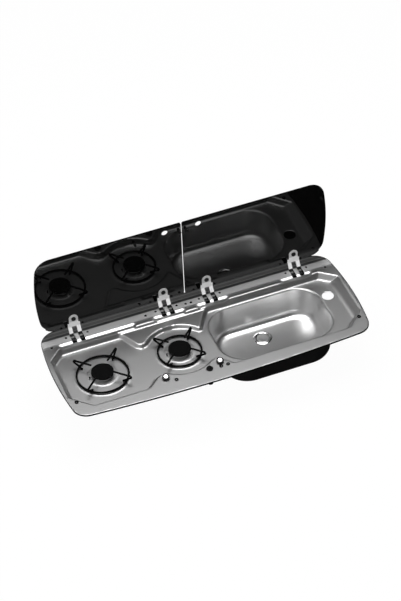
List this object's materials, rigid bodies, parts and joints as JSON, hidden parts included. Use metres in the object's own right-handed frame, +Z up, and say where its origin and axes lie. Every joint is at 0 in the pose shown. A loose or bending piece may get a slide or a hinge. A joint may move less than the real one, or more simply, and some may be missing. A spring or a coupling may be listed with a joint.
{
  "type": "hob and sink combo",
  "caption": "Drop-in pressed steel unit with gas burners, wire pan supports, a sink bowl and hinged black glass lids that fold down over it.",
  "frame": {"origin": "middle of the unit on the worktop's surface, at the underside of the rim seal", "axes": "+X along the length to the right, +Y to the back where the lids are hinged, +Z up"},
  "size_m": [0.9, 0.3699, 0.4447],
  "materials": {
    "pressed_steel": "fine satin pressed stainless steel",
    "bright_steel": "bright polished steel",
    "black_rubber": "matt black",
    "black_plastic": "satin black moulding",
    "cast_aluminium": "plain cast",
    "brass": "machined",
    "black_enamel": "matt black enamel",
    "white_ceramic": "glazed",
    "black_glass": "polished opaque black safety glass"
  },
  "bodies": {
    "deck": {"top_plate": "pressed_steel", "rim_seal": "black_rubber", "fixing_tabs": "pressed_steel", "sink_bowl": "pressed_steel", "bowl_jacket": "black_rubber", "waste_flange": "bright_steel", "waste_seal": "black_rubber", "waste_body": "black_plastic", "burner_body_left": "cast_aluminium", "burner_crown_left": "cast_aluminium", "thermocouple_left": "black_enamel", "electrode_left": "white_ceramic", "gas_jet_left": "brass", "burner_pipe_left": "cast_aluminium", "gas_valve_left": "brass", "burner_body_right": "cast_aluminium", "burner_crown_right": "cast_aluminium", "thermocouple_right": "black_enamel", "electrode_right": "white_ceramic", "gas_jet_right": "brass", "burner_pipe_right": "cast_aluminium", "gas_valve_right": "brass", "gas_manifold": "bright_steel", "piezo_body": "black_plastic", "lid_bumpers": "black_rubber", "rail_screws": "bright_steel", "hinge_rivets": "bright_steel", "hinge_pins": "bright_steel", "hinge_bracket_a": "black_enamel", "hinge_bracket_b": "black_enamel", "hinge_bracket_c": "black_enamel", "hinge_bracket_d": "black_enamel"},
    "hob_lid": {"hob_lid_glass": "black_glass", "hinge_arm_a": "bright_steel", "hinge_arm_b": "bright_steel", "hob_lid_screws": "bright_steel", "hob_lid_washers": "black_rubber", "hob_lid_cap_nuts": "black_plastic", "hob_lid_feet": "black_rubber"},
    "sink_lid": {"sink_lid_glass": "black_glass", "hinge_arm_c": "bright_steel", "hinge_arm_d": "bright_steel", "sink_lid_screws": "bright_steel", "sink_lid_washers": "black_rubber", "sink_lid_cap_nuts": "black_plastic", "sink_lid_feet": "black_rubber"},
    "left_valve_plug": {"valve_plug_left": "brass"},
    "left_knob": {"valve_spindle_left": "bright_steel", "knob_left": "black_plastic"},
    "left_cap": {"burner_cap_left": "black_enamel"},
    "left_support": {"pan_support_left": "black_enamel"},
    "right_valve_plug": {"valve_plug_right": "brass"},
    "right_knob": {"valve_spindle_right": "bright_steel", "knob_right": "black_plastic"},
    "right_cap": {"burner_cap_right": "black_enamel"},
    "right_support": {"pan_support_right": "black_enamel"},
    "igniter_button": {"piezo_button": "black_plastic"},
    "sink_plug": {"drain_plug": "bright_steel"}
  },
  "joints": [
    {"name": "hob_lid_hinge", "type": "hinge", "parent": "deck", "child": "hob_lid", "pos_m": [0, 0.138, -0.009], "axis": [-1, 0, 0], "range_deg": [-88, 0]},
    {"name": "sink_lid_hinge", "type": "hinge", "parent": "deck", "child": "sink_lid", "pos_m": [0, 0.138, -0.009], "axis": [-1, 0, 0], "range_deg": [-88, 0]},
    {"name": "left_knob_turn", "type": "hinge", "parent": "deck", "child": "left_valve_plug", "pos_m": [-0.165, -0.122, 0], "axis": [0, 0, 1], "range_deg": [0, 180]},
    {"name": "left_knob_push", "type": "slide", "parent": "left_valve_plug", "child": "left_knob", "axis": [0, 0, -1], "range_m": [0, 0.003], "stiffness_N_per_m": 800, "springref_m": -0.003},
    {"name": "right_knob_turn", "type": "hinge", "parent": "deck", "child": "right_valve_plug", "pos_m": [-0.005, -0.122, 0], "axis": [0, 0, 1], "range_deg": [0, 180]},
    {"name": "right_knob_push", "type": "slide", "parent": "right_valve_plug", "child": "right_knob", "axis": [0, 0, -1], "range_m": [0, 0.003], "stiffness_N_per_m": 800, "springref_m": -0.003},
    {"name": "igniter_press", "type": "slide", "parent": "deck", "child": "igniter_button", "axis": [0, 0, -1], "range_m": [0, 0.0035], "stiffness_N_per_m": 1500, "springref_m": -0.002},
    {"name": "sink_plug_lift", "type": "slide", "parent": "deck", "child": "sink_plug", "axis": [0, 0, 1], "range_m": [0, 0.025]},
    {"name": "left_cap_lift", "type": "slide", "parent": "deck", "child": "left_cap", "axis": [0, 0, 1], "range_m": [0, 0.03]},
    {"name": "left_support_lift", "type": "slide", "parent": "deck", "child": "left_support", "axis": [0, 0, 1], "range_m": [0, 0.04]},
    {"name": "right_cap_lift", "type": "slide", "parent": "deck", "child": "right_cap", "axis": [0, 0, 1], "range_m": [0, 0.03]},
    {"name": "right_support_lift", "type": "slide", "parent": "deck", "child": "right_support", "axis": [0, 0, 1], "range_m": [0, 0.04]}
  ]
}
